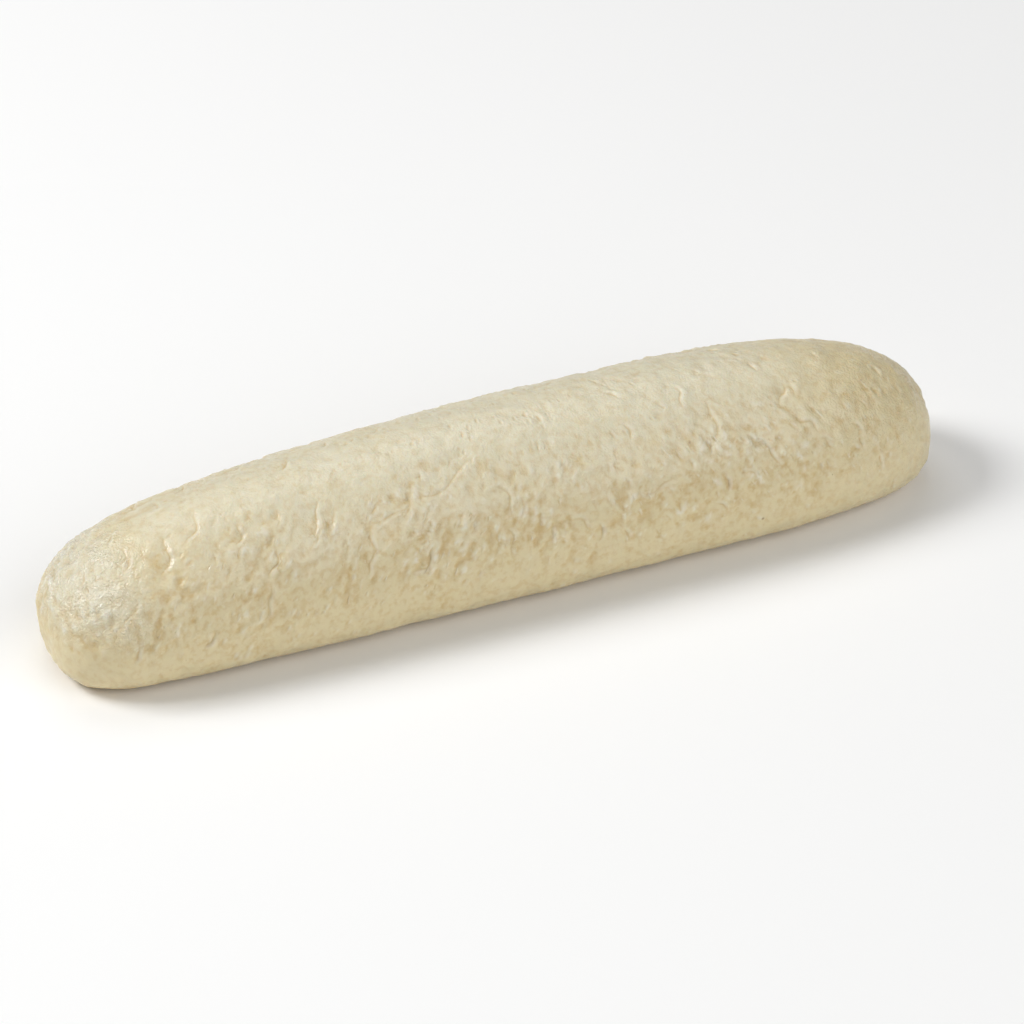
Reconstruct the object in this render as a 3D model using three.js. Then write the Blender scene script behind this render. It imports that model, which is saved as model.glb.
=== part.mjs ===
// A panini roll before baking: one pale stick of wheat dough, lying on its flattened underside.
// Millimetres. +X runs along the stick to its blunt end and +Z is up. The origin is on the resting
// surface, under the middle of the stick's box.
import * as THREE from "three";
import { mergeVertices } from "three/addons/utils/BufferGeometryUtils.js";

// Driving dimensions of the stick
const LENGTH = 170;
const WIDTH = 39;
const HEIGHT = 30.5;
const BOW = 1.2; // how far the middle bows sideways, towards +Y
const BELLY_HEIGHT = 0.285 * HEIGHT; // height of the widest line: soft dough sags low
const PRESS = 1.12; // depth of the lower half over the belly's height, before the base is pressed flat
const LOWER_POWER = 2.8; // squareness of the lower half's section, where 2 is an ellipse

// How the stick closes at its ends. Each value is a power: the larger, the squarer the end.
const TIP_POWER = 2.57;
const UNDERSIDE_POWER = 28;
const TAPER_POWER = 1.5;
const SLIM_END = { plan: 12, crown: 4.8, taper: 0.17, cap: 0.95 };
const BLUNT_END = { plan: 6.1, crown: 4.1, taper: 0.022, cap: 0.93 };

// Cells of the skin's grid, and how much closer together its rings lie towards the ends
const CELLS = { along: 80, across: 16, up: 16 };
const RING_EASE = 0.1;

// Relief of the skin. Nothing moves where the dough is pressed flat, and all of it does from FADE_TOP up.
const FADE_TOP = 3.5;
const SEED = 41;
const SWELLS = { count: 26, spacing: 22, radius: [9, 15], height: [-0.3, 0.3] };
const LUMPS = { count: 240, spacing: 4.6, radius: [2.4, 4.2], height: [-0.09, 0.11] };
const TUCKS = { count: 70, spacing: 10, length: [5, 9], lean: [-38, 38], depth: [0.14, 0.28] };
const TUCK_WIDTH = 1.25; // from the bottom of a tuck to where it has mostly risen again
const FOLD_HEIGHT = 0.35; // height of the fold beside a tuck, as a share of the tuck's depth
const FOLD_OFFSET = 2; // from the bottom of a tuck to the top of its fold, in tuck widths

// The tucks that show most. Each has its place along the stick, its angle round the stick in degrees from
// the top towards -Y, its length, its lean in degrees away from straight round the stick, and its depth.
const MAIN_TUCKS = [
  { along: -75, around: 55, length: 11, lean: -55, depth: 0.55 },
  { along: -65.5, around: 31, length: 8, lean: -23, depth: 0.5 },
  { along: -59, around: 17, length: 7, lean: -34, depth: 0.4 },
  { along: -47.5, around: 49, length: 6, lean: -30, depth: 0.45 },
  { along: -38.5, around: 32, length: 7, lean: -27, depth: 0.45 },
  { along: -30.5, around: 54, length: 10, lean: -8, depth: 0.5 },
  { along: -14, around: 29, length: 13, lean: -66, depth: 0.35 },
  { along: -4.5, around: 60, length: 11, lean: 0, depth: 0.35 },
  { along: 33, around: 17, length: 5, lean: -10, depth: 0.4 },
  { along: 37, around: 33, length: 8, lean: -3, depth: 0.4 },
  { along: 46, around: 57, length: 8, lean: 38, depth: 0.5 },
  { along: 52, around: 27, length: 5, lean: -35, depth: 0.4 },
  { along: 64.5, around: 60, length: 6, lean: 10, depth: 0.45 },
];

const DOUGH = { color: "#dccfab", roughness: 0.5, metalness: 0 };

// Share of the full section that is left at a station, from 1 at the middle to 0 at a tip.
function closing(station, power) {
  return Math.max(0, 1 - Math.abs(station) ** power) ** (1 / TIP_POWER);
}

// A point of the smooth stick. The station runs from -1 at the slim tip to 1 at the blunt tip, and
// across and up are the point's direction in the section, on the unit circle.
function formPoint(station, across, up) {
  const end = station < 0 ? SLIM_END : BLUNT_END;
  const taper = 1 - end.taper * Math.abs(station) ** TAPER_POWER;
  const halfWidth = (WIDTH / 2) * taper * closing(station, end.plan);
  const crown = (HEIGHT - BELLY_HEIGHT) * taper * closing(station, end.crown);
  const underside = PRESS * BELLY_HEIGHT * closing(station, UNDERSIDE_POWER);
  const power = up > 0 ? 2 : LOWER_POWER;
  const reach = (Math.abs(across) ** power + Math.abs(up) ** power) ** (-1 / power);
  const x = (LENGTH / 2) * station;
  const y = reach * halfWidth * across + BOW * (1 - station ** 2);
  const z = BELLY_HEIGHT + reach * up * (up > 0 ? crown : underside);
  return new THREE.Vector3(x, y, Math.max(0, z));
}

// The station of a point of the box that the grid starts from. Rings run between the two end caps,
// and on a cap the station follows from how far the point lies from the cap's middle.
function stationOf(box, reach) {
  const end = box.x < 0 ? SLIM_END : BLUNT_END;
  if (Math.abs(box.x) < 1) {
    return end.cap * box.x * (1 + RING_EASE - RING_EASE * box.x ** 2);
  }
  const opening = reach * closing(end.cap, end.plan);
  return box.x * (1 - opening ** TIP_POWER) ** (1 / end.plan);
}

// The direction in the section, on the unit circle, of a point of the box's square section.
function directionOf(box) {
  const upright = Math.abs(box.z) >= Math.abs(box.y);
  const major = upright ? box.z : box.y;
  const minor = upright ? box.y : box.z;
  const angle = major === 0 ? 0 : (minor / major) * (Math.PI / 4);
  const side = major < 0 ? -1 : 1;
  const near = side * Math.cos(angle);
  const aside = side * Math.sin(angle);
  return upright ? { across: aside, up: near } : { across: near, up: aside };
}

// The smooth stick as a closed grid: a box whose six faces are drawn onto the stick.
function smoothStick() {
  const box = new THREE.BoxGeometry(2, 2, 2, CELLS.along, CELLS.across, CELLS.up);
  box.deleteAttribute("normal");
  box.deleteAttribute("uv");
  const stick = mergeVertices(box);
  const place = stick.getAttribute("position");
  const corner = new THREE.Vector3();
  for (let i = 0; i < place.count; i++) {
    corner.fromBufferAttribute(place, i);
    const reach = Math.max(Math.abs(corner.y), Math.abs(corner.z));
    const { across, up } = directionOf(corner);
    const point = formPoint(stationOf(corner, reach), across, up);
    place.setXYZ(i, point.x, point.y, point.z);
  }
  stick.computeVertexNormals();
  return stick;
}

const random = THREE.MathUtils.seededRandom;
const between = ([low, high]) => low + (high - low) * random();

// Vertices of the skin, at random but no closer to each other than the spacing, and off the flat base.
function spread(points, { count, spacing }) {
  const chosen = [];
  const MOST_TRIES = 40 * count;
  for (let tries = 0; chosen.length < count && tries < MOST_TRIES; tries++) {
    const i = Math.floor(random() * points.length);
    const clear = chosen.every((other) => points[other].distanceTo(points[i]) >= spacing);
    if (clear && points[i].z > 0) chosen.push(i);
  }
  return chosen;
}

// The vertex of the skin nearest to a place along the stick and round it.
function vertexAt(points, { along, around }) {
  const angle = THREE.MathUtils.degToRad(around);
  const place = formPoint(along / (LENGTH / 2), -Math.sin(angle), Math.cos(angle));
  const gaps = points.map((point) => point.distanceTo(place));
  return gaps.indexOf(Math.min(...gaps));
}

// A round rise or hollow: how far it lifts the skin at a point.
function mound(centre, radius, height) {
  return (point) => height * Math.exp(-point.distanceToSquared(centre) / radius ** 2);
}

// Rises and hollows of one kind, spread over the skin.
function moundsOf(points, kind) {
  return spread(points, kind).map((i) => mound(points[i], between(kind.radius), between(kind.height)));
}

// A tuck where the skin has folded on itself: a short groove that runs round the stick, leaning by
// some degrees, with a low fold along one side.
function tuck(centre, normal, { length, lean, depth }, foldSide) {
  const along = new THREE.Vector3(1, 0, 0).projectOnPlane(normal).normalize();
  const run = new THREE.Vector3().crossVectors(normal, along);
  run.applyAxisAngle(normal, THREE.MathUtils.degToRad(lean));
  const aside = new THREE.Vector3().crossVectors(run, normal);
  const offset = new THREE.Vector3();
  return (point) => {
    offset.subVectors(point, centre);
    const lengthwise = offset.dot(run) / (length / 2);
    const sideways = offset.dot(aside) / TUCK_WIDTH;
    const fading = Math.exp(-(lengthwise ** 2) - (offset.dot(normal) / length) ** 2);
    const groove = Math.exp(-(sideways ** 2));
    const fold = FOLD_HEIGHT * Math.exp(-((sideways - FOLD_OFFSET * foldSide) ** 2));
    return depth * fading * (fold - groove);
  };
}

// All the relief, as functions that give how far each lifts the skin at a point.
function reliefOf(points, normals) {
  random(SEED);
  const mounds = [...moundsOf(points, SWELLS), ...moundsOf(points, LUMPS)];
  const smallTucks = spread(points, TUCKS).map((i) => {
    const shape = { length: between(TUCKS.length), lean: between(TUCKS.lean), depth: between(TUCKS.depth) };
    return tuck(points[i], normals[i], shape, random() < 0.5 ? -1 : 1);
  });
  const mainTucks = MAIN_TUCKS.map((shape) => {
    const i = vertexAt(points, shape);
    return tuck(points[i], normals[i], shape, 1);
  });
  return [...mounds, ...smallTucks, ...mainTucks];
}

// The stick with its uneven, tucked skin, set on the floor with the origin under its middle.
function doughStick() {
  const stick = smoothStick();
  const place = stick.getAttribute("position");
  const facing = stick.getAttribute("normal");
  const indices = Array.from({ length: place.count }, (_, i) => i);
  const points = indices.map((i) => new THREE.Vector3().fromBufferAttribute(place, i));
  const normals = indices.map((i) => new THREE.Vector3().fromBufferAttribute(facing, i));
  const relief = reliefOf(points, normals);
  for (const i of indices) {
    const fade = THREE.MathUtils.smoothstep(points[i].z, 0, FADE_TOP);
    const lift = fade * relief.reduce((sum, liftAt) => sum + liftAt(points[i]), 0);
    const moved = points[i].clone().addScaledVector(normals[i], lift);
    place.setXYZ(i, moved.x, moved.y, Math.max(0, moved.z));
  }
  stick.computeBoundingBox();
  const middle = stick.boundingBox.getCenter(new THREE.Vector3());
  stick.translate(-middle.x, -middle.y, 0);
  stick.computeVertexNormals();
  return stick;
}

const roll = new THREE.Group();
const dough = new THREE.Mesh(doughStick(), new THREE.MeshStandardMaterial(DOUGH));
dough.name = "dough_stick";
roll.add(dough);

export default roll;
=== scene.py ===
"""A panini roll before baking, as it lies in the studio: one pale stick of wheat dough on a white floor.

Metres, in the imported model's frame: +X runs along the roll to its blunt end, -Y is the side that the
camera sees, +Z is up and the floor is at zero.
"""

import logging
import math
from dataclasses import dataclass, field
from enum import Enum

import bmesh
import bpy
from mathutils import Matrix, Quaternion, Vector
from mathutils.bvhtree import BVHTree


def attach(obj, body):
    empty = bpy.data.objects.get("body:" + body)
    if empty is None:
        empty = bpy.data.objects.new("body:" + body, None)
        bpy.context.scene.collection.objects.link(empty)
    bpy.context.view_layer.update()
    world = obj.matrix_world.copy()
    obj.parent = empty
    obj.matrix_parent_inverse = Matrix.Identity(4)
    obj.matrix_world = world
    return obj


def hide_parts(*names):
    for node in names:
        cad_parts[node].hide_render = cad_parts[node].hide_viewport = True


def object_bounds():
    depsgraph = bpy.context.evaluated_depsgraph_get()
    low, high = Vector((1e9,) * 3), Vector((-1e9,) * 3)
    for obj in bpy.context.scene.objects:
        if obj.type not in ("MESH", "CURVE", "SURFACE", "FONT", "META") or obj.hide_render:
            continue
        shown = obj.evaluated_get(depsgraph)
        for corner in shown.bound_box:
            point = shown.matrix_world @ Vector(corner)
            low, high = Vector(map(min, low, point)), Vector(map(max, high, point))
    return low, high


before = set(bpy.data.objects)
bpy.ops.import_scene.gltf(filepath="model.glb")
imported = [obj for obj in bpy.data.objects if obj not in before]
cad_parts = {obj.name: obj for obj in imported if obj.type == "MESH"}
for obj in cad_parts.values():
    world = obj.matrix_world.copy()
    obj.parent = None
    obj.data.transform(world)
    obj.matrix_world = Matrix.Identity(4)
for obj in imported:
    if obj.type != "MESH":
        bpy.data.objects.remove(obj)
CAD_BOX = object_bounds()

MM = 0.001
log = logging.getLogger("panini_roll")

Socket = bpy.types.NodeSocket
Sockets = bpy.types.bpy_prop_collection
Given = Socket | float | int | bool | str | tuple | bpy.types.ID
Colour = tuple[float, float, float, float]

LENGTHWISE = (1.0, 0.0, 0.0)
LEVEL = (1.0, 1.0, 0.0)
NOISE_MIDDLE = 0.5
NOISE_SWING = 0.25  # how far noise mostly goes from its middle
PILLOW_TOP = 0.25  # how far a puffy lump's top stands over the middle level
LEAST_SPOT = 0.5  # the smallest spot's radius, as a share of a middling one's


class SocketKind(Enum):
    """Kinds of socket on the tree made here."""

    GEOMETRY = "NodeSocketGeometry"
    OBJECT = "NodeSocketObject"
    MATERIAL = "NodeSocketMaterial"
    WHOLE = "NodeSocketInt"
    NUMBER = "NodeSocketFloat"


class DataType(Enum):
    """Types of the attributes that meshes and lines carry."""

    NUMBER = "FLOAT"
    VECTOR = "FLOAT_VECTOR"


class Detail(Enum):
    """How many layers of finer noise ride on a noise's lumps."""

    SMOOTH = 1.0
    SOFT = 2.0
    UNEVEN = 3.0
    FRAYED = 4.0


class Skin(Enum):
    """Attributes that the skin's mesh carries to its finish."""

    TUCK = "tuck"
    ACROSS = "across"
    HOLLOW = "hollow"
    CREST = "crest"


class LineData(Enum):
    """Attributes of the lines that the tucks follow."""

    SHARE = "share"
    SIDE = "side"


@dataclass(frozen=True)
class Fade:
    """A smooth change from low to high, as a number goes from start to end."""

    start: float
    end: float
    low: float = 0.0
    high: float = 1.0


@dataclass(frozen=True)
class Warp:
    """A push by noise: about the width of one push, and about how far it goes."""

    size: float
    reach: float


@dataclass(frozen=True)
class Scatter:
    """Soft round spots of uneven size.

    The spacing is about how far apart they could be, the radius is a middling spot's, and bare is the share
    of the places that have no spot.
    """

    spacing: float
    radius: float
    bare: float


# Lumps that run round the roll lean one way on its slim half and the other way on its blunt half, and they
# don't lean on its ends
LUMP_LEAN = Fade(-20 * MM, 35 * MM, -0.35, 0.35)
LEAN_OFF_ENDS = Fade(74 * MM, 58 * MM)


class Wiring:
    """Adds nodes to a tree and joins their sockets."""

    def __init__(self, tree: bpy.types.NodeTree) -> None:
        """Keep the tree that the nodes go into."""
        self.tree = tree

    @staticmethod
    def named(sockets: Sockets, name: str) -> Socket:
        """Find the first socket of that name that is in use."""
        return next(socket for socket in sockets if socket.enabled and socket.name == name)

    def feed(self, socket: Socket, value: Given) -> None:
        """Link an output to an input, or set the input's own value.

        Args:
            socket: The input.
            value: An output socket, or a plain value.
        """
        if isinstance(value, Socket):
            self.tree.links.new(value, socket)
        else:
            socket.default_value = value

    def node(
        self, kind: str, inputs: dict[str, Given] | None = None, **settings: str | bool
    ) -> bpy.types.Node:
        """Add a node and fill its inputs.

        Args:
            kind: Blender's identifier of the node.
            inputs: Values or output sockets, by the input's name.
            settings: The node's own properties.

        Returns:
            The new node.
        """
        node = self.tree.nodes.new(kind)
        for name, value in settings.items():
            setattr(node, name, value)
        for name, value in (inputs or {}).items():
            self.feed(self.named(node.inputs, name), value)
        return node

    def out(
        self, kind: str, inputs: dict[str, Given] | None = None, output: str = "", **settings: str | bool
    ) -> Socket:
        """Add a node and give one of its outputs.

        Args:
            kind: Blender's identifier of the node.
            inputs: Values or output sockets, by the input's name.
            output: The output's name, or nothing for the first one in use.
            settings: The node's own properties.

        Returns:
            The output socket.
        """
        node = self.node(kind, inputs, **settings)
        if output:
            return self.named(node.outputs, output)
        return next(socket for socket in node.outputs if socket.enabled)

    def math(self, operation: str, *values: Given) -> Socket:
        """Work out a number from up to three others.

        Args:
            operation: Blender's name of the operation.
            values: The operands, in order.

        Returns:
            The result's socket.
        """
        node = self.node("ShaderNodeMath", operation=operation)
        for socket, value in zip(node.inputs, values):
            self.feed(socket, value)
        return node.outputs[0]

    def vector(self, operation: str, *values: Given) -> Socket:
        """Work out a vector, or a number, from vectors.

        Args:
            operation: Blender's name of the operation.
            values: The operands, in order. A number after the vectors is a scale.

        Returns:
            The result's socket.
        """
        node = self.node("ShaderNodeVectorMath", operation=operation)
        open_inputs = [socket for socket in node.inputs if socket.enabled]
        for socket, value in zip(open_inputs, values):
            self.feed(socket, value)
        return next(socket for socket in node.outputs if socket.enabled)

    def fade(self, value: Given, fade: Fade) -> Socket:
        """Change smoothly as a value passes from a fade's start to its end.

        Args:
            value: The number that drives it.
            fade: The start and the end, and the results up to the one and from the other on.

        Returns:
            The result's socket.
        """
        inputs = {
            "Value": value,
            "From Min": fade.start,
            "From Max": fade.end,
            "To Min": fade.low,
            "To Max": fade.high,
        }
        return self.out("ShaderNodeMapRange", inputs, interpolation_type="SMOOTHSTEP")

    def bell(self, distance: Given) -> Socket:
        """Give exp(-d * d), a soft bump one unit wide."""
        return self.math("EXPONENT", self.math("MULTIPLY", self.math("MULTIPLY", distance, distance), -1.0))

    def per(self, size: float | Socket) -> float | Socket:
        """Give one over a size."""
        return self.math("DIVIDE", 1.0, size) if isinstance(size, Socket) else 1 / size

    def noise(
        self, place: Given, size: float | Socket, detail: Detail = Detail.SOFT, output: str = "Fac"
    ) -> Socket:
        """Give soft noise around its middle.

        Args:
            place: Where it is read.
            size: About the width of one lump, in the place's own units.
            detail: How much finer noise there is.
            output: "Fac" for a number, or "Color" for three.

        Returns:
            The noise's socket.
        """
        inputs = {"Vector": place, "Scale": self.per(size), "Detail": detail.value}
        return self.out("ShaderNodeTexNoise", inputs, output=output)

    def ripple(self, place: Given, size: float | Socket, detail: Detail = Detail.SOFT) -> Socket:
        """Give soft noise around zero, as a number."""
        return self.math("SUBTRACT", self.noise(place, size, detail), NOISE_MIDDLE)

    def swirl(self, place: Given, size: float) -> Socket:
        """Give smooth noise around zero, as a vector."""
        return self.vector("SUBTRACT", self.noise(place, size, Detail.SMOOTH, "Color"), (NOISE_MIDDLE,) * 3)

    def parts(self, place: Socket) -> tuple[Socket, Socket, Socket]:
        """Give a vector's X, Y and Z."""
        x, y, z = self.node("ShaderNodeSeparateXYZ", {"Vector": place}).outputs
        return x, y, z

    def leaning(self, place: Socket, stretch: float) -> Socket:
        """Give coordinates in which a round lump runs round the roll with a lean.

        Args:
            place: Object coordinates.
            stretch: How many times longer than wide a lump gets.

        Returns:
            The coordinates' socket.
        """
        x, y, z = self.parts(place)
        off_ends = self.fade(self.math("ABSOLUTE", x), LEAN_OFF_ENDS)
        lean = self.math("MULTIPLY", self.fade(x, LUMP_LEAN), off_ends)
        leaned = self.math("MULTIPLY_ADD", self.math("ADD", y, z), lean, x)
        inputs = {"X": leaned, "Y": self.math("DIVIDE", y, stretch), "Z": self.math("DIVIDE", z, stretch)}
        return self.out("ShaderNodeCombineXYZ", inputs)

    def warped(self, place: Socket, warp: Warp) -> Socket:
        """Push coordinates about with noise."""
        push = self.vector("SCALE", self.swirl(place, warp.size), warp.reach / NOISE_SWING)
        return self.vector("ADD", place, push)

    def pillows(self, place: Socket, size: float | Socket) -> Socket:
        """Give puffy lumps that meet in sharp valleys.

        Args:
            place: Where they are read.
            size: About the width of one lump.

        Returns:
            The height's socket, about zero on average.
        """
        inputs = {"Vector": place, "Scale": self.per(size), "Randomness": 1.0}
        reach = self.out("ShaderNodeTexVoronoi", inputs)
        return self.math("SUBTRACT", PILLOW_TOP, self.math("MULTIPLY", reach, reach))

    def spots(self, place: Socket, scatter: Scatter) -> Socket:
        """Scatter soft round spots of uneven size.

        Args:
            place: Where they are read.
            scatter: How they are scattered.

        Returns:
            A mask, one in the middle of each spot.
        """
        inputs = {"Vector": place, "Scale": self.per(scatter.spacing), "Randomness": 1.0}
        cells = self.node("ShaderNodeTexVoronoi", inputs)
        chance, share, _ = self.parts(cells.outputs["Color"])
        reach = self.math("DIVIDE", cells.outputs["Distance"], self.math("ADD", share, LEAST_SPOT))
        spot = self.fade(reach, Fade(scatter.radius / scatter.spacing, 0.0))
        return self.math("MULTIPLY", spot, self.math("GREATER_THAN", chance, scatter.bare))

    def lipped_spots(self, place: Socket, scatter: Scatter, lip: float) -> tuple[Socket, Socket]:
        """Scatter spots that each have a lip beside them.

        Args:
            place: Where they are read.
            scatter: How they are scattered.
            lip: How far the lip lies from its spot, along the roll.

        Returns:
            Two masks, of the spots and of their lips.
        """
        beside = self.vector("SUBTRACT", place, (lip, 0.0, 0.0))
        return self.spots(place, scatter), self.spots(beside, scatter)

    def carried(self, attribute: Skin) -> Socket:
        """Read a number that the skin's mesh carries."""
        return self.out("ShaderNodeAttribute", output="Fac", attribute_name=attribute.value)

    def mix_colour(self, factor: Given, first: Given, second: Given) -> Socket:
        """Mix two colours, from the first at factor zero to the second at factor one."""
        return self.out("ShaderNodeMix", {"Factor": factor, "A": first, "B": second}, data_type="RGBA")


@dataclass(frozen=True)
class Tuck:
    """A place where the skin has folded on itself, in millimetres and degrees.

    The place is along the roll and round it, from the top towards -Y. The lean is away from straight round
    the roll, and the bend bows the line sideways, as a share of its length.
    """

    along: float
    around: float
    length: float
    lean: float
    depth: float
    bend: float = 0.12


@dataclass
class TuckLines:
    """The lines of the tucks that show most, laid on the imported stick.

    The tucks of the side that the camera sees come first, and those of the back have an angle below zero.
    """

    belly: float = 8.7 * MM
    steps: int = 14
    full_depth: float = 0.5
    end_power: float = 0.6
    zigzag: float = 0.35 * MM
    zigzag_turns: float = 2.7
    tucks: tuple[Tuck, ...] = (
        Tuck(-74, 57, 7, -50, 0.35, 0.16),
        Tuck(-71.5, 19, 4, -30, 0.4),
        Tuck(-65.5, 31, 8, -23, 0.5),
        Tuck(-59, 17, 7, -34, 0.4),
        Tuck(-52, 30, 4.5, -20, 0.4),
        Tuck(-50, 69, 7, -18, 0.35),
        Tuck(-47.5, 49, 6, -30, 0.5),
        Tuck(-38.5, 32, 7, -27, 0.5),
        Tuck(-30, 48, 6, 8, 0.55),
        Tuck(-30.7, 61, 5, -25, 0.5),
        Tuck(-25, 38.5, 8.5, -80, 0.4),
        Tuck(-20, 48.5, 5, -60, 0.3),
        Tuck(-21, 67, 6, -45, 0.45, 0.2),
        Tuck(-14, 29, 13, -66, 0.35),
        Tuck(-4.7, 70, 5.5, -5, 0.4),
        Tuck(-4, 48, 6, 5, 0.4),
        Tuck(9, 69, 5, 50, 0.3),
        Tuck(24, 58, 8, -80, 0.3),
        Tuck(33, 17, 5, -10, 0.45),
        Tuck(37, 33, 8, -3, 0.4),
        Tuck(42, 66, 5, 50, 0.35),
        Tuck(46, 57, 8, 38, 0.5),
        Tuck(52, 27, 5, -35, 0.4),
        Tuck(55, 47, 5, 55, 0.3),
        Tuck(58, 60, 4, 40, 0.35),
        Tuck(64.5, 60, 6, 10, 0.45),
        Tuck(-66, -28, 6, 20, 0.4),
        Tuck(-54, -47, 7, -25, 0.45),
        Tuck(-43, -30, 5, 30, 0.4),
        Tuck(-33, -58, 8, 12, 0.5),
        Tuck(-19, -38, 6, -35, 0.4),
        Tuck(-6, -55, 7, 20, 0.45),
        Tuck(8, -33, 5, -15, 0.4),
        Tuck(21, -62, 6, 40, 0.4),
        Tuck(31, -42, 8, 10, 0.5),
        Tuck(47, -30, 5, -30, 0.4),
        Tuck(56, -55, 6, 25, 0.45),
        Tuck(67, -38, 5, -10, 0.4),
    )

    def line(self, tuck: Tuck, surface: BVHTree) -> list[tuple[Vector, Vector, float]]:
        """Lay one tuck on the stick.

        Args:
            tuck: The tuck.
            surface: The stick's surface.

        Returns:
            The line's points, each with its sideways direction and its share of the full depth.
        """
        angle = math.radians(tuck.around)
        outward = Vector((0, -math.sin(angle), math.cos(angle)))
        start = Vector((tuck.along * MM, 0, self.belly))
        centre, normal, _, _ = surface.ray_cast(start, outward)
        along = (Vector(LENGTHWISE) - normal * normal.x).normalized()
        run = Quaternion(normal, math.radians(tuck.lean)) @ normal.cross(along)
        side = run.cross(normal)
        points = []
        for step in range(self.steps + 1):
            share = step / self.steps
            arch = math.sin(math.pi * share)
            bow = tuck.bend * tuck.length * MM * arch
            wander = self.zigzag * math.sin(self.zigzag_turns * math.pi * share + tuck.along)
            place = centre + run * ((share - 0.5) * tuck.length * MM) + side * (bow + wander)
            place, _, _, _ = surface.find_nearest(place)
            points.append((place, side, tuck.depth / self.full_depth * arch ** self.end_power))
        return points

    def build(self, surface: BVHTree) -> bpy.types.Object:
        """Make the lines as one mesh of edges.

        Args:
            surface: The stick's surface.

        Returns:
            An object that isn't in the scene, for the relief to read.
        """
        lines = [self.line(tuck, surface) for tuck in self.tucks]
        points = [point for line in lines for point in line]
        edges = [(i, i + 1) for i in range(len(points) - 1) if (i + 1) % (self.steps + 1)]
        mesh = bpy.data.meshes.new("tuck_lines")
        mesh.from_pydata([place for place, _, _ in points], edges, [])
        share = mesh.attributes.new(LineData.SHARE.value, DataType.NUMBER.value, "POINT")
        side = mesh.attributes.new(LineData.SIDE.value, DataType.VECTOR.value, "POINT")
        for i, (_, sideways, depth) in enumerate(points):
            share.data[i].value = depth
            side.data[i].vector = sideways
        return bpy.data.objects.new("tuck_lines", mesh)


@dataclass(frozen=True)
class Marks:
    """Masks of the skin's fine marks: the tucks' lines and rims, and the pits and their lips."""

    line: Socket
    rim: Socket
    pits: Socket
    lips: Socket


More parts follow.
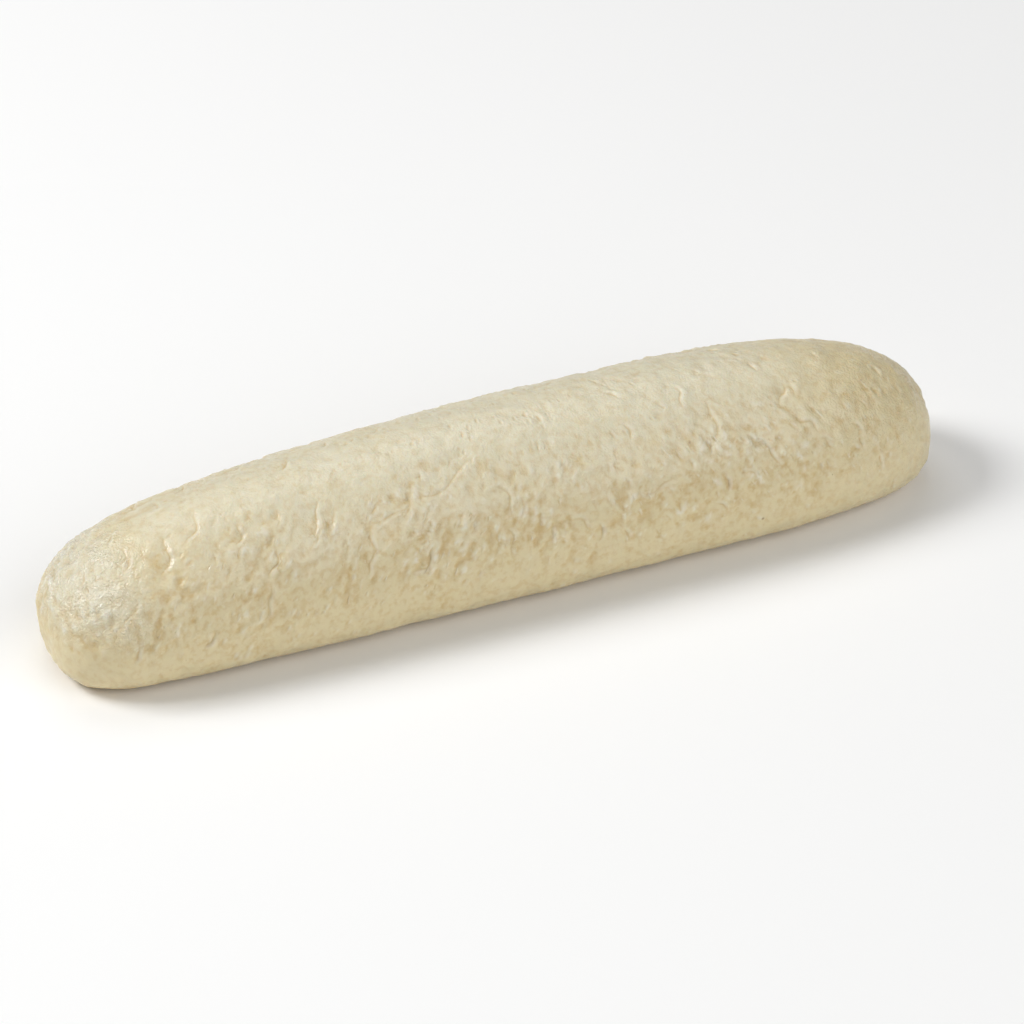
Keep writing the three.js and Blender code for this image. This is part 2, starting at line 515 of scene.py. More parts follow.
@dataclass(frozen=True)
class DoughFinish:
    """Raw wheat dough, creamier below and moist at the ends, with painted light in its colour: a painted
    sheen that pales it towards the top, painted shade in its folds, pits, hollows and foot, and painted
    highlights on its rims, lips and crests.

    The cap is the upper part of the slim end. A fade named for a foot or a top runs over height, another
    one named for the cap or an end runs along the roll, and the rest run over noise.
    """

    painted_sheen_colour: Colour = (0.735, 0.687, 0.52, 1)
    painted_highlight_colour: Colour = (0.82, 0.79, 0.67, 1)
    moist: Colour = (0.715, 0.614, 0.374, 1)
    tan: Colour = (0.59, 0.42, 0.18, 1)
    bran: Colour = (0.22, 0.11, 0.04, 1)

    # Satin of the skin, and light in it
    ior: float = 1.5
    satin_size: float = 6 * MM
    satin: Fade = Fade(0.35, 0.65, 0.35, 0.52)
    subsurface: float = 0.18
    scatter: tuple[float, float, float] = (1.0, 0.6, 0.3)
    scatter_depth: float = 1.2 * MM

    # Tuck lines and their rims, in tuck widths
    line_width: float = 0.5
    rim_place: float = 1.5

    # Round pits in clumps, and thin nicks on the sides
    clump_size: float = 5 * MM
    clumps: Fade = Fade(0.42, 0.62)
    pits: Scatter = Scatter(1.5 * MM, 0.6 * MM, 0.35)
    pit_stretch: float = 1.3
    pit_lip: float = 0.65 * MM
    nicks: Scatter = Scatter(1.5 * MM, 0.42 * MM, 0.45)
    nick_stretch: float = 1.9
    nick_warp: Warp = Warp(1.4 * MM, 0.4 * MM)
    nick_lip: float = 0.42 * MM
    nick_foot: Fade = Fade(7 * MM, 12 * MM)
    nick_top: Fade = Fade(28 * MM, 23 * MM, 0.25, 1.0)

    # Painted sheen: paler skin from an uneven height up, less of it at the blunt end, and paler on the upper
    # cap, where it stands for the cap's highlights
    painted_sheen_size: float = 9 * MM
    painted_sheen_uneven: float = 10 * MM
    painted_sheen_foot: Fade = Fade(19.5 * MM, 38 * MM)
    painted_sheen_blunt_end: Fade = Fade(44 * MM, 72 * MM, 1.0, 0.1)
    painted_sheen_cap: Fade = Fade(-64 * MM, -78 * MM)
    painted_sheen_cap_foot: Fade = Fade(10 * MM, 18 * MM, 0.0, 0.9)

    # Tan mottles, deeper in the hollows as painted shade, and fewer under the painted sheen
    mottle_size: float = 1.25 * MM
    mottle: Fade = Fade(0.42, 0.7, 0.0, 0.42)
    hollow_painted_shade: float = 0.54
    mottle_blunt_end: Fade = Fade(45 * MM, 68 * MM, 1.0, 0.8)
    mottle_cap: Fade = Fade(-68 * MM, -77 * MM, 1.0, 0.75)
    mottle_under_sheen: float = 0.45

    # Tints of the marks, the foot and the bran specks: painted shade in the tuck lines, the pits and at the
    # foot, and painted highlights on the rims, lips and crests
    line_painted_shade: float = 0.75
    pit_painted_shade: float = 0.4
    lip_painted_highlight: float = 0.7
    raised_painted_highlight: float = 0.6
    foot_painted_shade: Fade = Fade(3.2 * MM, 1.2 * MM, 0.0, 0.7)
    specks: Scatter = Scatter(6.5 * MM, 0.3 * MM, 0.72)
    speck_bran: float = 0.75

    # Moist film
    film_roughness: float = 0.24
    film_ior: float = 1.7
    film_size: float = 3 * MM
    film_patch: Fade = Fade(0.36, 0.56)
    film_cap: Fade = Fade(-65 * MM, -76 * MM)
    film_cap_foot: Fade = Fade(11 * MM, 17 * MM)
    film_blunt_end: Fade = Fade(52 * MM, 64 * MM, 0.0, 0.45)
    film_least: float = 0.22
    film_raised: float = 0.4

    # Heights of the crinkles and of the marks
    crinkle_size: float = 0.45 * MM
    crinkle: float = 0.1 * MM
    crinkle_more: float = 0.28 * MM
    crinkle_cap: Fade = Fade(-64 * MM, -75 * MM)
    crinkle_cap_foot: Fade = Fade(8 * MM, 14 * MM)
    crinkle_blunt_end: Fade = Fade(56 * MM, 66 * MM, 0.1 * MM, 0.2 * MM)
    line_lift: float = -0.07 * MM
    rim_lift: float = 0.05 * MM
    pit_lift: float = -0.08 * MM
    lip_lift: float = 0.06 * MM

    def material(self) -> bpy.types.Material:
        """Make the dough's material.

        Returns:
            The material.
        """
        material = bpy.data.materials.new("raw_dough")
        material.use_nodes = True
        tree = material.node_tree
        tree.nodes.clear()
        w = Wiring(tree)
        place = w.out("ShaderNodeTexCoord", output="Object")
        marks = self.marks(w, place)
        grain = self.relief(w, place, marks)
        bsdf = w.node(
            "ShaderNodeBsdfPrincipled",
            {
                "Base Color": self.colour(w, place, marks),
                "Roughness": w.fade(w.noise(place, self.satin_size), self.satin),
                "IOR": self.ior,
                "Subsurface Weight": self.subsurface,
                "Subsurface Radius": self.scatter,
                "Subsurface Scale": self.scatter_depth,
                "Coat Weight": self.film(w, place, marks),
                "Coat Roughness": self.film_roughness,
                "Coat IOR": self.film_ior,
                "Coat Normal": grain,
                "Normal": grain,
            },
        )
        output = w.node("ShaderNodeOutputMaterial")
        w.feed(output.inputs["Surface"], bsdf.outputs["BSDF"])
        return material

    def marks(self, w: Wiring, place: Socket) -> Marks:
        """Find the tucks' lines and rims, and scatter pits and nicks with a lip beside each.

        Args:
            w: The material's wiring.
            place: Object coordinates.

        Returns:
            The masks. The nicks are among the pits.
        """
        tuck = w.carried(Skin.TUCK)
        across = w.carried(Skin.ACROSS)
        line = w.math("MULTIPLY", tuck, w.bell(w.math("DIVIDE", across, self.line_width)))
        rim = w.math("MULTIPLY", tuck, w.bell(w.math("SUBTRACT", across, self.rim_place)))
        clumps = w.fade(w.noise(place, self.clump_size, Detail.SMOOTH), self.clumps)
        pits = w.lipped_spots(w.leaning(place, self.pit_stretch), self.pits, self.pit_lip)
        thin = w.warped(w.leaning(place, self.nick_stretch), self.nick_warp)
        nicks = w.lipped_spots(thin, self.nicks, self.nick_lip)
        _, _, z = w.parts(place)
        sides = w.math("MULTIPLY", w.fade(z, self.nick_foot), w.fade(z, self.nick_top))
        spots, lips = (
            w.math("MAXIMUM", w.math("MULTIPLY", clumps, pit), w.math("MULTIPLY", sides, nick))
            for pit, nick in zip(pits, nicks)
        )
        return Marks(line, rim, spots, lips)

    def colour(self, w: Wiring, place: Socket, marks: Marks) -> Socket:
        """Pale the skin towards the top as painted sheen, mottle it, paint shade into its hollows, folds and
        foot and highlights onto its rims, lips and crests, and tint its bran.

        Args:
            w: The material's wiring.
            place: Object coordinates.
            marks: The fine marks' masks.

        Returns:
            The colour's socket.
        """
        x, _, z = w.parts(place)
        # Painted light: the skin pales towards the top as a painted sheen, and on the upper cap as painted
        # highlight
        uneven = w.noise(place, self.painted_sheen_size, Detail.UNEVEN)
        painted_sheen = w.fade(w.math("MULTIPLY_ADD", uneven, self.painted_sheen_uneven, z), self.painted_sheen_foot)
        painted_sheen = w.math("MULTIPLY", painted_sheen, w.fade(x, self.painted_sheen_blunt_end))
        cap = w.math("MULTIPLY", w.fade(x, self.painted_sheen_cap), w.fade(z, self.painted_sheen_cap_foot))
        painted_sheen = w.math("MAXIMUM", painted_sheen, cap)
        mottle = w.fade(w.noise(place, self.mottle_size, Detail.UNEVEN), self.mottle)
        # The tan in the hollows is painted shade
        mottle = w.math("MULTIPLY_ADD", w.carried(Skin.HOLLOW), self.hollow_painted_shade, mottle)
        mottle = w.math("MULTIPLY", mottle, w.fade(x, self.mottle_blunt_end))
        mottle = w.math("MULTIPLY", mottle, w.fade(x, self.mottle_cap))
        mottle = w.math("MULTIPLY", mottle, w.math("MULTIPLY_ADD", painted_sheen, -self.mottle_under_sheen, 1.0))
        # The tan in the tuck lines and pits is painted shade
        lines = w.math("MULTIPLY", marks.line, self.line_painted_shade)
        painted_fold_shade = w.math("MAXIMUM", lines, w.math("MULTIPLY", marks.pits, self.pit_painted_shade))
        # The pale tint on the raised places (rims, lips and crests) is painted highlight
        raised = w.math("MAXIMUM", marks.rim, w.math("MULTIPLY", marks.lips, self.lip_painted_highlight))
        raised = w.math("MAXIMUM", w.carried(Skin.CREST), raised)
        colour = w.mix_colour(painted_sheen, self.moist, self.painted_sheen_colour)
        tints = (
            (mottle, self.tan),
            (painted_fold_shade, self.tan),
            (w.math("MULTIPLY", raised, self.raised_painted_highlight), self.painted_highlight_colour),
            # Painted shade along the foot, where the dough meets the floor
            (w.fade(z, self.foot_painted_shade), self.tan),
            (w.math("MULTIPLY", w.spots(place, self.specks), self.speck_bran), self.bran),
        )
        for share, tint in tints:
            colour = w.mix_colour(share, colour, tint)
        return colour

    def film(self, w: Wiring, place: Socket, marks: Marks) -> Socket:
        """Leave a moist film in patches, thickest on the cap, and on the rims and lips.

        Args:
            w: The material's wiring.
            place: Object coordinates.
            marks: The fine marks' masks.

        Returns:
            The film's weight.
        """
        x, _, z = w.parts(place)
        cap = w.math("MULTIPLY", w.fade(x, self.film_cap), w.fade(z, self.film_cap_foot))
        ends = w.math("MAXIMUM", cap, w.fade(x, self.film_blunt_end))
        patch = w.fade(w.noise(place, self.film_size, Detail.FRAYED), self.film_patch)
        film = w.math("MULTIPLY", patch, w.math("MAXIMUM", ends, self.film_least))
        raised = w.math("MULTIPLY", w.math("MAXIMUM", marks.rim, marks.lips), self.film_raised)
        return w.math("MAXIMUM", film, raised)

    def relief(self, w: Wiring, place: Socket, marks: Marks) -> Socket:
        """Raise the skin's grain, too fine for its mesh: crinkles, strongest on the cap, and the marks.

        Args:
            w: The material's wiring.
            place: Object coordinates.
            marks: The fine marks' masks.

        Returns:
            The normal's socket.
        """
        x, _, z = w.parts(place)
        cap = w.math("MULTIPLY", w.fade(x, self.crinkle_cap), w.fade(z, self.crinkle_cap_foot))
        depth = w.math("MULTIPLY_ADD", cap, self.crinkle_more, self.crinkle)
        depth = w.math("MAXIMUM", depth, w.fade(x, self.crinkle_blunt_end))
        height = w.math("MULTIPLY", w.ripple(place, self.crinkle_size), depth)
        lifts = (
            (marks.line, self.line_lift),
            (marks.rim, self.rim_lift),
            (marks.pits, self.pit_lift),
            (marks.lips, self.lip_lift),
        )
        for mask, lift in lifts:
            height = w.math("MULTIPLY_ADD", mask, lift, height)
        return w.out("ShaderNodeBump", {"Strength": 1.0, "Distance": 1.0, "Height": height})


@dataclass
class DoughStick:
    """The roll's one piece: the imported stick, with its tucks and crumples worked into a fine mesh."""

    node: str = "dough_stick"
    body: str = "root"
    slot: str = "dough"
    piece: str = "dough_skin"
    lines: TuckLines = field(default_factory=TuckLines)
    finish: DoughFinish = DoughFinish()

    # The mesh: its quads, its subdivision, and the height from which the skin moves freely
    weld: float = 0.001 * MM
    join_bend: float = math.radians(40)
    join_skew: float = math.radians(60)
    levels: int = 2
    free: Fade = Fade(0.5 * MM, 5 * MM)

    # Inputs of the tree
    seed: int = 11
    sizes: dict[str, float] = field(
        default_factory=lambda: {
            "Tuck Spacing": 4.4 * MM,
            "Tuck Density": 70000.0,
            "Tuck Length": 3.0 * MM,
            "Tuck Width": 0.42 * MM,
            "Tuck Depth": 0.3 * MM,
            "Fold Height": 0.65,
            "Wander": 0.9 * MM,
            "Pebble Size": 1.7 * MM,
            "Pebble Height": 0.3 * MM,
            "Crumple Size": 1.1 * MM,
            "Crumple Height": 0.52 * MM,
            "Dent Depth": 0.29 * MM,
            "Crag Size": 4.2 * MM,
            "Crag Height": 0.7 * MM,
            "Ragged Edge": 1.3 * MM,
        }
    )

    # Small tucks: where they lie, how they lean, and how long, bent and deep they are
    tuck_foot: Fade = Fade(7 * MM, 12 * MM)
    tuck_lean: Fade = Fade(-20 * MM, 35 * MM, math.radians(-28), math.radians(28))
    tuck_spread: float = math.radians(25)
    lean_seed: int = 1
    tuck_lengths: tuple[float, float] = (0.5, 1.5)
    length_seed: int = 2
    tuck_points: int = 10
    tuck_bend: float = 0.3
    wander_size: float = 1.6 * MM
    clump_size: float = 5 * MM
    clumps: Fade = Fade(0.42, 0.66, 0.05, 1.0)

    # A tuck's section: reach and mask in tuck widths, and the fold's shift in its own, narrower widths
    tuck_reach: float = 4.0
    tuck_mask: float = 2.0
    fold_narrow: float = 1.2
    fold_shift: float = 1.9

    # Crumples: pebbles and wrinkles, dents with their lips, and where they are strong
    pebble_stretch: float = 1.4
    pebble_warp: Warp = Warp(2.6 * MM, 0.4 * MM)
    dents: Scatter = Scatter(1.8 * MM, 0.8 * MM, 0.38)
    dent_stretch: float = 1.6
    dent_warp: Warp = Warp(2.2 * MM, 0.35 * MM)
    dent_lip: float = 0.9 * MM
    lip_height: float = 0.5
    patch_size: float = 11 * MM
    patch: Fade = Fade(0.32, 0.66, 0.6, 1.3)
    slim_end: Fade = Fade(-58 * MM, -74 * MM, 1.0, 1.2)
    blunt_end: Fade = Fade(55 * MM, 72 * MM, 1.0, 0.7)
    foot: Fade = Fade(6 * MM, 15 * MM, 0.3, 1.0)
    facing_up: Fade = Fade(0.78, 0.96, 1.0, 0.35)

    # Lifts that count as a hollow or a crest, and the ragged lower edge
    hollow: Fade = Fade(-0.02 * MM, -0.17 * MM)
    crest: Fade = Fade(0.05 * MM, 0.19 * MM)
    ragged_size: float = 3.2 * MM
    ragged_foot: Fade = Fade(7 * MM, 3 * MM)

    def form(self) -> bpy.types.Mesh:
        """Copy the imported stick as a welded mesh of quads.

        Returns:
            The new mesh.
        """
        bm = bmesh.new()
        bm.from_mesh(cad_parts[self.node].data)
        bmesh.ops.remove_doubles(bm, verts=bm.verts, dist=self.weld)
        bmesh.ops.join_triangles(
            bm,
            faces=bm.faces,
            angle_face_threshold=self.join_bend,
            angle_shape_threshold=self.join_skew,
        )
        mesh = bpy.data.meshes.new(self.piece)
        bm.to_mesh(mesh)
        bm.free()
        mesh.materials.clear()
        return mesh

    def tree(self) -> bpy.types.NodeTree:
        """Make the tree that works the relief into the skin.

        Returns:
            The tree.
        """
        tree = bpy.data.node_groups.new("dough_relief", "GeometryNodeTree")
        sockets = {
            "Geometry": SocketKind.GEOMETRY,
            "Tuck Lines": SocketKind.OBJECT,
            "Finish": SocketKind.MATERIAL,
            "Levels": SocketKind.WHOLE,
            "Seed": SocketKind.WHOLE,
            **{name: SocketKind.NUMBER for name in self.sizes},
        }
        for name, kind in sockets.items():
            tree.interface.new_socket(name=name, in_out="INPUT", socket_type=kind.value)
        tree.interface.new_socket(name="Geometry", in_out="OUTPUT", socket_type=SocketKind.GEOMETRY.value)
        w = Wiring(tree)
        given = w.node("NodeGroupInput").outputs
        skin = w.out("GeometryNodeSubdivisionSurface", {"Mesh": given["Geometry"], "Level": given["Levels"]})
        scattered = self.scattered_lines(w, given, skin)
        chosen = w.out("GeometryNodeObjectInfo", {"Object": given["Tuck Lines"]}, output="Geometry")
        lines = w.node("GeometryNodeJoinGeometry")
        for part in (scattered, chosen):
            w.feed(lines.inputs[0], part)
        skin = self.tucked(w, given, skin, lines.outputs[0])
        skin = self.crumpled(w, given, skin)
        skin = self.ragged(w, given, skin)
        skin = w.out("GeometryNodeSetShadeSmooth", {"Geometry": skin, "Shade Smooth": True})
        skin = w.out("GeometryNodeRealizeInstances", {"Geometry": skin})
        skin = w.out("GeometryNodeSetMaterial", {"Geometry": skin, "Material": given["Finish"]})
        w.feed(w.node("NodeGroupOutput").inputs["Geometry"], skin)
        return tree

    def scattered_lines(self, w: Wiring, given: Sockets, skin: Socket) -> Socket:
        """Scatter short bent lines over the skin, each running round the roll with a lean.

        Args:
            w: The tree's wiring.
            given: The tree's inputs.
            skin: The smooth skin.

        Returns:
            The lines, as a mesh of edges with their share of depth and their sideways direction.
        """
        place = w.out("GeometryNodeInputPosition")
        _, _, height = w.parts(place)
        points = w.node(
            "GeometryNodeDistributePointsOnFaces",
            {
                "Mesh": skin,
                "Distance Min": given["Tuck Spacing"],
                "Density Max": given["Tuck Density"],
                "Density Factor": w.fade(height, self.tuck_foot),
                "Seed": given["Seed"],
            },
            distribute_method="POISSON",
        )
        shortest, longest = self.tuck_lengths
        chance = {"Min": shortest, "Max": longest, "Seed": self.length_seed}
        stretch = w.out("FunctionNodeRandomValue", chance, data_type=DataType.NUMBER.value)
        length = w.math("MULTIPLY", given["Tuck Length"], stretch)
        curve = w.out(
            "GeometryNodeCurveQuadraticBezier",
            {
                "Resolution": self.tuck_points,
                "Start": (0.0, -0.5, 0.0),
                "Middle": (self.tuck_bend, 0.0, 0.0),
                "End": (0.0, 0.5, 0.0),
            },
        )
        lines = w.out(
            "GeometryNodeInstanceOnPoints",
            {
                "Points": points.outputs["Points"],
                "Instance": curve,
                "Rotation": self.line_rotation(w, place, points.outputs["Normal"]),
                "Scale": w.out("ShaderNodeCombineXYZ", {"X": length, "Y": length, "Z": length}),
            },
        )
        lines = w.out("GeometryNodeRealizeInstances", {"Geometry": lines})
        wander = w.vector("SCALE", w.swirl(place, self.wander_size), given["Wander"])
        lines = w.out("GeometryNodeSetPosition", {"Geometry": lines, "Offset": wander})
        nearest = w.node("GeometryNodeProximity", {"Geometry": skin}, target_element="FACES")
        on_skin = nearest.outputs["Position"]
        lines = w.out("GeometryNodeSetPosition", {"Geometry": lines, "Position": on_skin})
        return w.out("GeometryNodeCurveToMesh", {"Curve": self.line_data(w, place, skin, lines)})

    def line_rotation(self, w: Wiring, place: Socket, normal: Socket) -> Socket:
        """Turn a line to lie on the skin and run round the roll, with a lean.

        Args:
            w: The tree's wiring.
            place: The line's place, which sets most of its lean.
            normal: The skin's normal there.

        Returns:
            The rotation's socket.
        """
        along = w.vector("SUBTRACT", LENGTHWISE, w.vector("PROJECT", LENGTHWISE, normal))
        round_roll = w.vector("CROSS_PRODUCT", normal, along)
        x, _, _ = w.parts(place)
        chance = {"Min": -self.tuck_spread, "Max": self.tuck_spread, "Seed": self.lean_seed}
        spread = w.out("FunctionNodeRandomValue", chance, data_type=DataType.NUMBER.value)
        lean = w.math("ADD", w.fade(x, self.tuck_lean), spread)
        turn = w.out("FunctionNodeAxisAngleToRotation", {"Axis": normal, "Angle": lean})
        run = w.out("FunctionNodeRotateVector", {"Vector": round_roll, "Rotation": turn})
        axes = {"Primary Axis": normal, "Secondary Axis": run}
        return w.out("FunctionNodeAxesToRotation", axes, primary_axis="Z", secondary_axis="Y")

    def line_data(self, w: Wiring, place: Socket, skin: Socket, lines: Socket) -> Socket:
        """Store each line's share of depth, which fades at its ends, and its sideways direction.

        Args:
            w: The tree's wiring.
            place: The place of a line's point.
            skin: The smooth skin.
            lines: The lines.

        Returns:
            The lines with both attributes.
        """
        run = w.out("GeometryNodeSplineParameter", output="Factor")
        arch = w.math("SINE", w.math("MULTIPLY", run, math.pi))
        strength = w.fade(w.noise(place, self.clump_size, Detail.SMOOTH), self.clumps)
        lines = self.stored(w, lines, LineData.SHARE, w.math("MULTIPLY", arch, strength))
        facing = w.out(
            "GeometryNodeSampleNearestSurface",
            {"Mesh": skin, "Value": w.out("GeometryNodeInputNormal")},
            data_type=DataType.VECTOR.value,
        )
        side = w.vector("NORMALIZE", w.vector("CROSS_PRODUCT", w.out("GeometryNodeInputTangent"), facing))
        return self.stored(w, lines, LineData.SIDE, side, DataType.VECTOR)

    def tucked(self, w: Wiring, given: Sockets, skin: Socket, lines: Socket) -> Socket:
        """Press a groove along each line and raise a fold beside it.

        Args:
            w: The tree's wiring.
            given: The tree's inputs.
            skin: The smooth skin.
            lines: The tucks' lines.

        Returns:
            The skin with its tucks.
        """
        place = w.out("GeometryNodeInputPosition")
        near = w.node("GeometryNodeProximity", {"Geometry": lines}, target_element="EDGES")
        index = w.out("GeometryNodeSampleNearest", {"Geometry": lines}, domain="POINT")
        share = self.of_line(w, lines, index, LineData.SHARE, DataType.NUMBER)
        side = self.of_line(w, lines, index, LineData.SIDE, DataType.VECTOR)
        offset = w.vector("SUBTRACT", place, near.outputs["Position"])
        sign = w.math("SIGN", w.vector("DOT_PRODUCT", offset, side))
        widths = w.math("DIVIDE", near.outputs["Distance"], given["Tuck Width"])
        across = w.math("MULTIPLY", w.math("MINIMUM", widths, self.tuck_reach), sign)
        groove = w.math("MULTIPLY", share, w.bell(across))
        beside = w.math("MULTIPLY_ADD", across, self.fold_narrow, -self.fold_shift)
        fold = w.math("MULTIPLY", share, w.bell(beside))
        lift = w.math("SUBTRACT", w.math("MULTIPLY", fold, given["Fold Height"]), groove)
        lift = w.math("MULTIPLY", lift, given["Tuck Depth"])
        mask = w.math("MULTIPLY", share, w.bell(w.math("DIVIDE", across, self.tuck_mask)))
        skin = self.stored(w, skin, Skin.TUCK, mask)
        skin = self.stored(w, skin, Skin.ACROSS, across)
        return self.lifted(w, skin, lift)

    def of_line(
        self, w: Wiring, lines: Socket, index: Socket, attribute: LineData, data_type: DataType
    ) -> Socket:
        """Read a line's attribute at the point nearest to the skin.

        Args:
            w: The tree's wiring.
            lines: The tucks' lines.
            index: The nearest point's index.
            attribute: Which attribute.
            data_type: Its type.

        Returns:
            The attribute's socket.
        """
        kind = data_type.value
        value = w.out("GeometryNodeInputNamedAttribute", {"Name": attribute.value}, data_type=kind)
        inputs = {"Geometry": lines, "Value": value, "Index": index}
        return w.out("GeometryNodeSampleIndex", inputs, data_type=kind, domain="POINT")

    def stored(
        self,
        w: Wiring,
        geometry: Socket,
        attribute: Skin | LineData,
        value: Socket,
        data_type: DataType = DataType.NUMBER,
    ) -> Socket:
        """Store an attribute on the points of the skin or of the lines.

        Args:
            w: The tree's wiring.
            geometry: The skin or the lines.
            attribute: Which attribute.
            value: Its value.
            data_type: Its type.

        Returns:
            The geometry with the attribute.
        """
        inputs = {"Geometry": geometry, "Name": attribute.value, "Value": value}
        return w.out("GeometryNodeStoreNamedAttribute", inputs, data_type=data_type.value, domain="POINT")

    def lifted(self, w: Wiring, skin: Socket, lift: Socket) -> Socket:
        """Move the skin along its normals, less and less towards the pressed base.

        Args:
            w: The tree's wiring.
            skin: The skin.
            lift: How far it moves.

        Returns:
            The moved skin.
        """
        _, _, height = w.parts(w.out("GeometryNodeInputPosition"))
        lift = w.math("MULTIPLY", lift, w.fade(height, self.free))
        offset = w.vector("SCALE", w.out("GeometryNodeInputNormal"), lift)
        return w.out("GeometryNodeSetPosition", {"Geometry": skin, "Offset": offset})

    def crumpled(self, w: Wiring, given: Sockets, skin: Socket) -> Socket:
        """Crumple the skin: pebbles, wrinkles and lipped dents that run round the roll, on broader crags.

        Args:
            w: The tree's wiring.
            given: The tree's inputs.
            skin: The skin with its tucks.

        Returns:
            The crumpled skin, with its hollows and crests stored.
        """
        place = w.out("GeometryNodeInputPosition")
        wrapped = w.leaning(place, self.pebble_stretch)
        bent = w.warped(w.leaning(place, self.dent_stretch), self.dent_warp)
        dent, lip = w.lipped_spots(bent, self.dents, self.dent_lip)
        layers = {
            "Pebble Height": w.pillows(w.warped(wrapped, self.pebble_warp), given["Pebble Size"]),
            "Crumple Height": w.ripple(wrapped, given["Crumple Size"], Detail.SMOOTH),
            "Dent Depth": w.math("SUBTRACT", w.math("MULTIPLY", lip, self.lip_height), dent),
        }
        lift = 0.0
        for size, layer in layers.items():
            lift = w.math("MULTIPLY_ADD", layer, given[size], lift)
        lift = w.math("MULTIPLY", lift, self.strength(w, place))
        # The finish paints shade into these hollows and highlights onto these crests
        skin = self.stored(w, skin, Skin.HOLLOW, w.fade(lift, self.hollow))
        skin = self.stored(w, skin, Skin.CREST, w.fade(lift, self.crest))
        crag = w.ripple(place, given["Crag Size"], Detail.SMOOTH)
        return self.lifted(w, skin, w.math("MULTIPLY_ADD", crag, given["Crag Height"], lift))

    def strength(self, w: Wiring, place: Socket) -> Socket:
        """Vary the crumples: patchy, strong at the slim end, weak at the blunt end, low down and on top.

        Args:
            w: The tree's wiring.
            place: The place of a point of the skin.

        Returns:
            The strength's socket.
        """
        x, _, z = w.parts(place)
        _, _, upward = w.parts(w.out("GeometryNodeInputNormal"))
        patch = w.fade(w.noise(place, self.patch_size, Detail.SMOOTH), self.patch)
        ends = w.math("MULTIPLY", w.fade(x, self.slim_end), w.fade(x, self.blunt_end))
        round_roll = w.math("MULTIPLY", w.fade(z, self.foot), w.fade(upward, self.facing_up))
        return w.math("MULTIPLY", w.math("MULTIPLY", patch, ends), round_roll)

    def ragged(self, w: Wiring, given: Sockets, skin: Socket) -> Socket:
        """Push the edge where the dough meets the floor a little in and out.

        Args:
            w: The tree's wiring.
            given: The tree's inputs.
            skin: The crumpled skin.

        Returns:
            The skin with its ragged lower edge.
        """
        place = w.out("GeometryNodeInputPosition")
        _, _, z = w.parts(place)
        push = w.math("MULTIPLY", w.ripple(place, self.ragged_size), w.fade(z, self.ragged_foot))
        push = w.math("MULTIPLY", push, given["Ragged Edge"])
        level = w.vector("MULTIPLY", w.out("GeometryNodeInputNormal"), LEVEL)
        return w.out("GeometryNodeSetPosition", {"Geometry": skin, "Offset": w.vector("SCALE", level, push)})

    def build(self) -> bpy.types.Object:
        """Make the piece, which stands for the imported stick.

        Returns:
            The piece.
        """
        form = self.form()
        maker = bpy.data.objects.new(self.piece + "_maker", form)
        bpy.context.scene.collection.objects.link(maker)
        bm = bmesh.new()
        bm.from_mesh(form)
        lines = self.lines.build(BVHTree.FromBMesh(bm))
        bm.free()
        tree = self.tree()
        relief = maker.modifiers.new("relief", "NODES")
        relief.node_group = tree
        values = {
            "Tuck Lines": lines,
            "Finish": self.finish.material(),
            "Levels": self.levels,
            "Seed": self.seed,
            **self.sizes,
        }
        for socket in tree.interface.items_tree:
            if socket.in_out == "INPUT" and socket.name in values:
                relief[socket.identifier] = values[socket.name]
        graph = bpy.context.evaluated_depsgraph_get()
        mesh = bpy.data.meshes.new_from_object(maker.evaluated_get(graph), depsgraph=graph)
        mesh.name = self.piece
        maker.modifiers.remove(relief)
        bpy.data.objects.remove(maker)
        bpy.data.objects.remove(lines)
        bpy.data.node_groups.remove(tree)
        piece = bpy.data.objects.new(self.piece, mesh)
        bpy.context.scene.collection.objects.link(piece)
        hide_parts(self.node)
        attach(piece, self.body)
        return piece


@dataclass(frozen=True)
class Softbox:
    """A soft rectangular light, placed by its direction from the roll."""

    name: str
    azimuth: float
    elevation: float
    distance: float
    width: float
    height: float
    power: float

    def build(self, target: Vector) -> bpy.types.Object:
        """Hang the light and turn it to its target.

        Args:
            target: The point that it faces.

        Returns:
            The light.
        """
        light = bpy.data.lights.new(self.name, "AREA")
        light.shape = "RECTANGLE"
        light.size = self.width
        light.size_y = self.height
        light.energy = self.power
        lamp = bpy.data.objects.new(self.name, light)
        direction = direction_to(self.azimuth, self.elevation)
        lamp.location = target + direction * self.distance
        lamp.rotation_euler = direction.to_track_quat("Z", "Y").to_euler()
        bpy.context.scene.collection.objects.link(lamp)
        return lamp


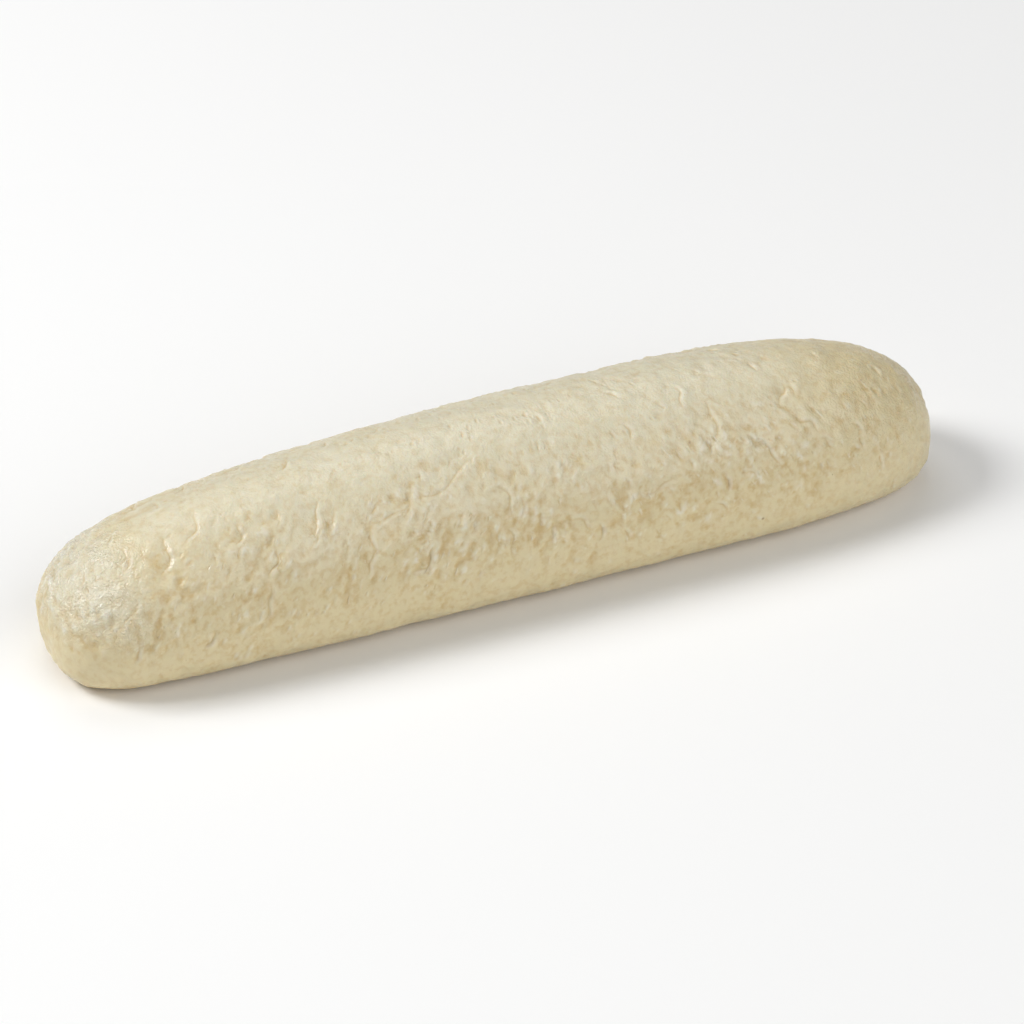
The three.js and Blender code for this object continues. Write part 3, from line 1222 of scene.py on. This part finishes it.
@dataclass
class Studio:
    """A white floor, soft light from above and an even white surround."""

    floor_span: float = 6.0
    floor_drop: float = 0.05 * MM
    floor_colour: Colour = (0.95, 0.95, 0.945, 1)
    floor_roughness: float = 0.8
    surround_colour: Colour = (1, 1, 1, 1)
    surround: float = 0.13
    lights: tuple[Softbox, ...] = (
        Softbox("key", -116, 44, 1.2, 0.5, 0.5, 10.3),
        Softbox("front_fill", 20, 36, 1.2, 1.4, 0.9, 8.1),
        Softbox("back_fill", 170, 60, 1.2, 0.8, 0.5, 2.7),
    )

    def floor(self) -> bpy.types.Object:
        """Lay the floor.

        Returns:
            The floor's object.
        """
        bm = bmesh.new()
        bmesh.ops.create_grid(bm, x_segments=2, y_segments=2, size=self.floor_span / 2)
        mesh = bpy.data.meshes.new("floor")
        bm.to_mesh(mesh)
        bm.free()
        for vertex in mesh.vertices:
            vertex.co.z = -self.floor_drop
        material = bpy.data.materials.new("white_board")
        material.use_nodes = True
        bsdf = material.node_tree.nodes["Principled BSDF"]
        bsdf.inputs["Base Color"].default_value = self.floor_colour
        bsdf.inputs["Roughness"].default_value = self.floor_roughness
        mesh.materials.append(material)
        floor = bpy.data.objects.new("floor", mesh)
        bpy.context.scene.collection.objects.link(floor)
        return floor

    def build(self, target: Vector) -> None:
        """Set up the floor, the lights and the surround.

        Args:
            target: The point that the lights face.
        """
        self.floor()
        for light in self.lights:
            light.build(target)
        world = bpy.data.worlds.new("white_surround")
        world.use_nodes = True
        background = world.node_tree.nodes["Background"]
        background.inputs["Color"].default_value = self.surround_colour
        background.inputs["Strength"].default_value = self.surround
        bpy.context.scene.world = world
        bpy.context.scene.view_settings.view_transform = "Standard"


@dataclass
class Camera:
    """A long lens that looks down on the roll from the front left."""

    azimuth: float = -23.63
    elevation: float = 35.0
    distance: float = 0.867
    view_angle: float = 12.0
    nearest: float = 0.01
    farthest: float = 50.0
    aim: tuple[float, float, float] = (1.94 * MM, -3.93 * MM, 11.22 * MM)

    def build(self) -> bpy.types.Object:
        """Place the camera and make it the scene's own.

        Returns:
            The camera.
        """
        lens = bpy.data.cameras.new("camera")
        lens.sensor_fit = "HORIZONTAL"
        lens.angle = math.radians(self.view_angle)
        lens.clip_start = self.nearest
        lens.clip_end = self.farthest
        camera = bpy.data.objects.new("camera", lens)
        direction = direction_to(self.azimuth, self.elevation)
        camera.location = Vector(self.aim) + direction * self.distance
        camera.rotation_euler = direction.to_track_quat("Z", "Y").to_euler()
        bpy.context.scene.collection.objects.link(camera)
        bpy.context.scene.camera = camera
        return camera


def direction_to(azimuth: float, elevation: float) -> Vector:
    """Give the direction towards a viewer or a light.

    Args:
        azimuth: Degrees round from -Y, towards +X.
        elevation: Degrees up from the floor.

    Returns:
        A vector of length one.
    """
    turn = math.radians(azimuth)
    rise = math.radians(elevation)
    return Vector((math.sin(turn) * math.cos(rise), -math.cos(turn) * math.cos(rise), math.sin(rise)))


def main() -> None:
    """Build the roll, the studio and the camera."""
    logging.basicConfig(level=logging.INFO, format="%(message)s")
    middle = (CAD_BOX[0] + CAD_BOX[1]) / 2
    Camera().build()
    stick = DoughStick().build()
    log.info("%s: %d vertices, %d faces", stick.name, len(stick.data.vertices), len(stick.data.polygons))
    Studio().build(middle)


if __name__ == "__main__":
    main()
